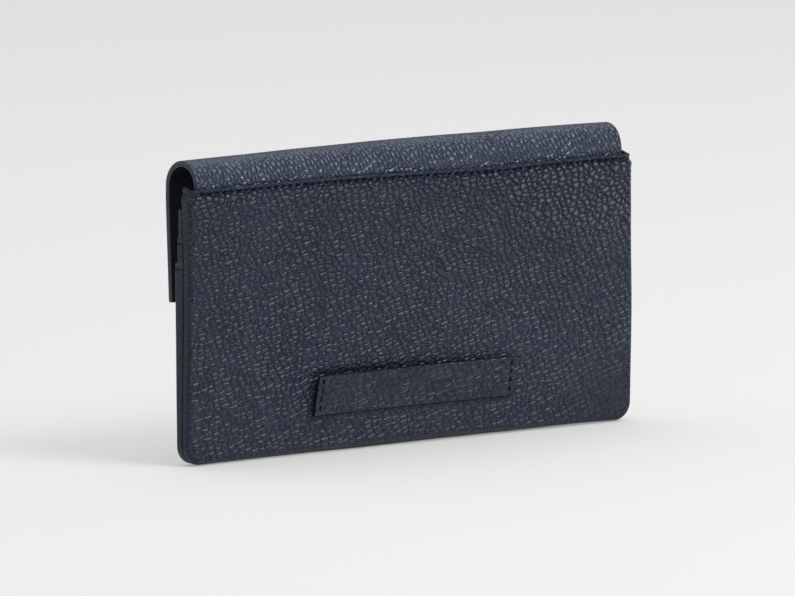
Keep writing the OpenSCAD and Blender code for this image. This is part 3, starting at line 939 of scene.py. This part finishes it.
def build_flat_sheet(name, node, half_w, thickness, materials, seed, foot, top=None):
    """A lining or the divider, sewn in flat between the walls, with a little looseness."""
    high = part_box(node)[1]
    top = top or high.z
    gap = 1.6 * MM
    points, inward, flat = turned_grid(high.y, 1, top, 0.01 * MM, 0.0, gap, even_rows(gap), half_w, foot)
    points[..., 1] += 0.05 * MM * ripple(flat[..., 0], flat[..., 1], 40 * MM, seed)
    made = solid_sheet(name, settle(points), inward, thickness, flat, materials, 0.1 * MM)
    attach(made, "body")
    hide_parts(node)


def build_sheets():
    leather = [lining_leather, painted_edge, lining_leather]
    cloth = [lining_cloth] * 3
    behind = HALF_W - 1.3 * MM
    within_row = HALF_W - 1.8 * MM
    build_flat_sheet(
        "divider_leather", "note_divider", behind, 0.5 * MM, leather, 0.4, 1.3 * MM
    )
    for name, node, half_w, seed, top in (
        ("rear_lining_cloth", "rear_lining", behind, 1.1, TONGUE_Z),
        ("card_lining_cloth", "card_strip_lining", within_row, 1.7, None),
        ("front_lining_cloth", "front_lining", within_row, 2.3, None),
    ):
        build_flat_sheet(name, node, half_w, 0.3 * MM, cloth, seed, 1.8 * MM, top)


# ---- Zip ----


def build_zip_teeth():
    """Metal teeth with rounded heads, in two rows that meet along the zip's middle."""
    for node, side in (("zip_teeth_upper", 1), ("zip_teeth_lower", -1)):
        low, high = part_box(node)
        pitch = 1.9 * MM
        count = round((high.x - low.x + 0.8 * MM) / pitch)
        mesh = bmesh.new()
        for i in range(count):
            middle = (low + high) / 2
            middle.x = low.x + 0.55 * MM + i * pitch
            start = len(mesh.verts)
            bmesh.ops.create_cube(mesh, size=1)
            mesh.verts.ensure_lookup_table()
            for vertex in mesh.verts[start:]:
                head = vertex.co.z * side < 0
                wide = (1.1 if head else 0.75) * MM
                deep = (high.y - low.y) * (0.8 if head else 1.0)
                vertex.co = stretched(vertex.co, middle, (wide, deep, high.z - low.z))
        edges = mesh.edges[:]
        bmesh.ops.bevel(mesh, geom=edges, offset=0.18 * MM, segments=2, profile=0.5, affect="EDGES")
        made = finish_metal(node.replace("zip_teeth", "tooth_row"), mesh, "body")
        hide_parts(node)


def build_zip_ends():
    width = 1.5 * MM
    for name, x in (("zip_stop_left", STOP_LOW.x), ("zip_stop_right", STOP_HIGH.x - width)):
        low = (x, STOP_LOW.y, STOP_LOW.z)
        high = (x + width, STOP_HIGH.y, STOP_HIGH.z)
        made = box_mesh(name, low, high, 0.3 * MM, "body")
        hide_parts("zip_end_stops")


def build_slider():
    """The slider: two shaped plates, the flanges between them and the eye for the pull."""
    low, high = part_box("zip_slider")
    x = (low.x + high.x) / 2
    half = (high.x - low.x) / 2
    tall = (high.z - low.z) / 2
    pivot = turns["zip_pull_turn"]
    face_y = pivot.y + 0.8 * MM
    inside_y = face_y + 0.2 * MM
    upper = [(-1.0, 0.72), (-0.1, 0.8), (0.55, 1.0), (0.95, 0.8), (1.0, 0.3)]
    shape = upper + [(along, -up) for along, up in upper[::-1]]
    outline = [(x + half * along, ZIP_Z + tall * up) for along, up in shape]
    plate_t = 0.45 * MM
    front = plate("slider_front_plate", outline, face_y, face_y + plate_t, 0.15 * MM, "zip_slider")
    plate("slider_back_plate", outline, high.y - plate_t, high.y, 0.15 * MM, "zip_slider")
    for name, side in (("slider_flange_lower", -1), ("slider_flange_upper", 1)):
        flange_low, flange_high = sorted((ZIP_Z + side * 1.95 * MM, ZIP_Z + side * 2.3 * MM))
        start = (x - half * 0.85, inside_y, flange_low)
        end = (x + half * 0.6, face_y + 1.1 * MM, flange_high)
        box_mesh(name, start, end, 0.1 * MM, "zip_slider")
    start = (x - 1.5 * MM, inside_y, ZIP_Z - 0.1 * MM)
    end = (x + 1.5 * MM, high.y - 0.2 * MM, ZIP_Z + 0.1 * MM)
    box_mesh("slider_web", start, end, 0.03 * MM, "zip_slider")
    slider_eye(pivot)
    start = (x - 0.9 * MM, pivot.y + 0.62 * MM, ZIP_Z - 0.5 * MM)
    end = (x + 0.9 * MM, face_y + 0.1 * MM, ZIP_Z + 0.5 * MM)
    box_mesh("slider_eye_foot", start, end, 0.06 * MM, "zip_slider")
    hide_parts("zip_slider")


def slider_eye(centre):
    """The upright ring with softened edges that the pull's bar passes through."""
    inner, outer, half, soft = 0.6 * MM, 0.95 * MM, 0.55 * MM, 0.12 * MM
    upper = [(outer, half - soft), (outer - soft, half), (inner + soft, half), (inner, half - soft)]
    loop = [(radius, -up) for radius, up in upper[::-1]] + upper
    profile = [(radius, centre.z + up) for radius, up in loop]
    lathe("slider_eye", profile, centre, "zip_slider", 40, upright=True)


def build_pull():
    """The pull: a bar through the slider's eye, two arms and a rounded tab."""
    pivot = turns["zip_pull_turn"]
    low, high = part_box("zip_pull")
    thick = (high.y - low.y) / 2
    half = (high.z - low.z) / 2
    neck_x = pivot.x - 1.5 * MM
    round_x = low.x + half
    turn = np.linspace(0, math.pi, 15)
    arc = [(round_x - half * math.sin(a), ZIP_Z + half * math.cos(a)) for a in turn]
    outline = arc + [(neck_x, ZIP_Z - half), (neck_x, ZIP_Z + half)]
    tab = plate("pull_tab", outline, pivot.y - thick, pivot.y + thick, 0.16 * MM, "zip_pull")
    arm = 0.35 * MM
    for name, middle in (("pull_arm_lower", ZIP_Z - half + arm), ("pull_arm_upper", ZIP_Z + half - arm)):
        start = (neck_x - 0.3 * MM, pivot.y - thick, middle - arm)
        end = (pivot.x + arm, pivot.y + thick, middle + arm)
        box_mesh(name, start, end, 0.14 * MM, "zip_pull")
    bar = 0.25 * MM
    bar_low = (pivot.x - bar, pivot.y - bar, ZIP_Z - half + 0.3 * MM)
    bar_high = (pivot.x + bar, pivot.y + bar, ZIP_Z + half - 0.3 * MM)
    box_mesh("pull_bar", bar_low, bar_high, 0.12 * MM, "zip_pull")
    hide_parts("zip_pull")


def recolour(node, material):
    """Gives a CAD solid that stays visible a better material."""
    materials = frame["nodes"][node].data.materials
    materials.clear()
    materials.append(material)


# ---- Magnetic snap ----


def build_snap():
    """The socket's cap on the front row and the post that the flap carries into it."""
    low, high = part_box("snap_socket_cap")
    centre = (low + high) / 2
    radius = (high.x - low.x) / 2
    bore = 2.4 * MM
    back_y = front_low.y
    face_y = low.y
    cap = [
        (bore, back_y), (radius - 0.2 * MM, back_y), (radius, back_y - 0.3 * MM), (radius, face_y + 1.1 * MM),
        (radius - 0.25 * MM, face_y + 0.45 * MM), (radius - 0.9 * MM, face_y + 0.1 * MM),
        (radius - 1.5 * MM, face_y), (bore + 0.45 * MM, face_y), (bore + 0.12 * MM, face_y + 0.12 * MM),
        (bore, face_y + 0.4 * MM),
    ]
    socket = lathe("snap_socket", cap, centre, "body")
    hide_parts("snap_socket_cap", "snap_socket_base", "snap_magnet")
    flap_y = float(flap_profile(FLAP_LENGTH - (centre.z - FLAP_EDGE_Z))[0])
    seat_y = flap_y + FLAP_LEATHER_T + FLAP_LINING_T
    tip_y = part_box("snap_stud")[1].y
    post_r = 1.9 * MM
    plate_y = seat_y + 1.2 * MM
    profile = [
        (0.0, seat_y - 0.3 * MM), (radius - 0.3 * MM, seat_y - 0.3 * MM), (radius, seat_y + 0.2 * MM),
        (radius, plate_y - 0.4 * MM), (radius - 0.5 * MM, plate_y), (post_r + 0.4 * MM, plate_y),
        (post_r, plate_y + 0.3 * MM), (post_r, tip_y - 0.5 * MM), (post_r - 0.5 * MM, tip_y), (0.0, tip_y),
    ]
    stud = lathe("snap_post", profile, centre, "flap_panel")
    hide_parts("snap_stud")
    recolour("snap_socket_washer", nickel)
    recolour("snap_stud_washer", nickel)


# ---- Flap ----

ARC_LENGTH = math.pi * ARCH_R
ARC_START = ARCH_Z - TONGUE_Z
FLAP_LENGTH = ARC_START + ARC_LENGTH + ARCH_Z - FLAP_EDGE_Z
# The flap is cut from another place of the hide than the rear panel
FLAP_CUT_Y = 0.2
FLAP_BELLY = 0.9 * MM
FLAP_LEAN = 1.1 * MM
CROWN = 0.85 * MM


def flap_profile(s):
    """(y, z) on the flap's outer face and the unit direction inwards, s metres from the tongue's end."""
    angle = np.clip((s - ARC_START) / ARCH_R, 0, math.pi)
    before = np.minimum(s - ARC_START, 0)
    after = np.maximum(s - ARC_START - ARC_LENGTH, 0)
    belly = FLAP_BELLY * ease(s, ARC_START + 0.55 * ARC_LENGTH, ARC_START + 1.2 * ARC_LENGTH)
    lean = FLAP_LEAN * (after / (ARCH_Z - FLAP_EDGE_Z)) ** 1.2
    y = ARCH_Y + ARCH_R * np.cos(angle) - belly + lean
    z = ARCH_Z + ARCH_R * np.sin(angle) + before - after
    return y, z, -np.cos(angle), -np.sin(angle)


def arc_place(degrees):
    """Length along the flap at an angle round the arch, counted from the rear."""
    return ARC_START + math.radians(degrees) * ARCH_R


def flap_grid(s_low, s_high, s_gap, depth):
    """Grid of one stretch of the flap, depth metres below its outer face."""
    edge = 0.3 * MM
    hanging = s_high == FLAP_LENGTH
    s_end = s_high - edge if hanging else s_high
    xs = steps((-FLAP_HALF + edge, FLAP_HALF - edge, 0.8 * MM))
    ss = steps((s_low, s_end, s_gap))
    x, s = np.meshgrid(xs, ss, indexing="ij")
    y, z, in_y, in_z = flap_profile(s)
    uneven = 0.14 * MM * ripple(x, s, 65 * MM, 5.1) * ease(s, ARC_START, ARC_START + 8 * MM)
    relief = uneven - depth
    share = x / FLAP_HALF
    risen = ease(z, REAR_TOP, ARCH_Z + ARCH_R)
    lift = (CROWN * (1 - share**2) - 0.35 * MM * share) * risen
    back = 0.75 * MM * (0.5 - 0.5 * share) * risen**2
    points = stack(x, y - in_y * relief + back, z - in_z * relief + lift)
    inward = stack(np.zeros_like(x), in_y, in_z)
    flat = stack(x, s + FLAP_CUT_Y, 0.0)
    cuts = np.zeros(x.shape, bool)
    cuts[:, 0] = True
    cuts[:, -1] = not hanging
    return points, inward, flat, cuts


def flap_point(degrees):
    """The point on the flap's outer face at an angle round the arch."""
    y, z, _, _ = flap_profile(arc_place(degrees))
    return (0, float(y), float(z))


def build_flap():
    """Four stretches of one sheet, each in leather and lining: three round the arch, fixed in place, and the
    panel they carry, which rides on the flap panel's body.
    """
    ends = (0.0, arc_place(55), arc_place(125), ARC_START + ARC_LENGTH + 2 * MM, FLAP_LENGTH)
    stretches = (
        ("root", "flap_anchor", 0.4 * MM, (-8, 48)),
        ("crown", "flap_bend_rear", 0.4 * MM, (62, 118)),
        ("front", "flap_bend_front", 0.4 * MM, (132, 184)),
        ("panel", "flap_front", 0.8 * MM, None),
    )
    layers = (
        ("flap_leather_", "", 0.0, FLAP_LEATHER_T, painted_lit_arch_leather, "leather_outer"),
        ("flap_lining_", "_lining", FLAP_LEATHER_T, FLAP_LINING_T, lining_leather, "leather_inner"),
    )
    for prefix, suffix, depth, thickness, face, slot_name in layers:
        materials = [face, painted_edge, lining_leather]
        for k, (name, node, gap, bend) in enumerate(stretches):
            points, inward, flat, cuts = flap_grid(ends[k], ends[k + 1], gap, depth)
            made = solid_sheet(prefix + name, points, inward, thickness, flat, materials, cuts=cuts)
            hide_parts(node + suffix)
            if bend:
                flap_point(bend[0])
                flap_point(bend[1])
                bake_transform(made)
            else:
                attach(made, "flap_panel")


# ---- Stage, light and camera ----


def build_stage():
    mesh = bmesh.new()
    bmesh.ops.create_grid(mesh, x_segments=2, y_segments=2, size=6.0)
    data = bpy.data.meshes.new("floor")
    mesh.to_mesh(data)
    mesh.free()
    data.materials.append(paper_floor("paper"))
    floor = link("floor", data)
    floor.location.z = -0.2 * MM


def lamp(name, kind, power, shadow=True):
    """A light that has its power and place in the scene but no shape yet."""
    light = bpy.data.lights.new(name, kind)
    light.energy = power
    light.use_shadow = shadow
    return link(name, light)


def soft_light(name, direction, distance, size, power, shadow=True):
    """A square light that looks at the wallet's middle from a direction."""
    made = lamp(name, "AREA", power, shadow)
    made.data.shape = "SQUARE"
    made.data.size = size
    towards = Vector(direction).normalized()
    made.location = Vector((0, 0, 60 * MM)) + towards * distance
    made.rotation_mode = "QUATERNION"
    made.rotation_quaternion = towards.to_track_quat("Z", "Y")


def build_light():
    world = bpy.data.worlds.new("studio")
    world.use_nodes = True
    background = world.node_tree.nodes["Background"]
    background.inputs["Color"].default_value = (1.0, 1.0, 1.0, 1.0)
    background.inputs["Strength"].default_value = 0.13
    bpy.context.scene.world = world
    # Even light from above that casts no shadow, as a large white ceiling gives
    fill = lamp("overhead_fill", "SUN", 1.28, shadow=False)
    fill.data.angle = math.radians(100)
    soft_light("ceiling", (-0.16, -0.42, 1.0), 2.8, 5.4, 42)
    soft_light("key", (-0.25, 0.68, 0.68), 3.2, 1.5, 30)
    soft_light("sheen", (-0.38, 0.6, 0.7), 3.2, 1.4, 26, shadow=False)


CAMERA_LENS = 436.9
CAMERA_DISTANCE = 3.4393
CAMERA_AZIMUTH = math.radians(36.91)
CAMERA_ELEVATION = math.radians(7.88)
CAMERA_ROLL = math.radians(-0.5)
# What the camera aims at, from the middle of the rear panel's foot
AIM_LEFT = 7.04 * MM
AIM_UP = 52.0 * MM


def build_camera():
    """Long lens from the rear and the +X side, a little above the wallet."""
    camera = bpy.data.cameras.new("camera")
    camera.sensor_width = 36
    camera.lens = CAMERA_LENS
    level = math.cos(CAMERA_ELEVATION)
    back = Vector(
        (math.sin(CAMERA_AZIMUTH) * level, math.cos(CAMERA_AZIMUTH) * level, math.sin(CAMERA_ELEVATION))
    )
    right = Vector((0, 0, 1)).cross(back).normalized()
    up = back.cross(right)
    roll = Matrix.Rotation(CAMERA_ROLL, 3, back)
    right, up = roll @ right, roll @ up
    foot = Vector((0, REAR_Y, 0))
    eye = foot + back * CAMERA_DISTANCE
    aim = foot - right * AIM_LEFT + up * AIM_UP
    away = (eye - aim).normalized()
    side = (right - right.dot(away) * away).normalized()
    rise = away.cross(side)
    made = link("camera", camera)
    made.matrix_world = Matrix.Translation(eye) @ Matrix((side, rise, away)).transposed().to_4x4()
    camera.clip_start, camera.clip_end = 0.05, 30
    bpy.context.scene.camera = made


bpy.context.scene.view_settings.view_transform = "Standard"

build_rear_panel()
build_top_stitching()
build_strap()
build_strap_stitching()
build_rows()
build_row_stitching()
build_window_stitching()
build_column_stitching()
build_sheets()
build_zip_teeth()
build_zip_ends()
build_slider()
build_pull()
build_flap()
build_snap()
recolour("zip_tape_upper", tape_cloth)
recolour("zip_tape_lower", tape_cloth)
build_stage()
build_light()
build_camera()
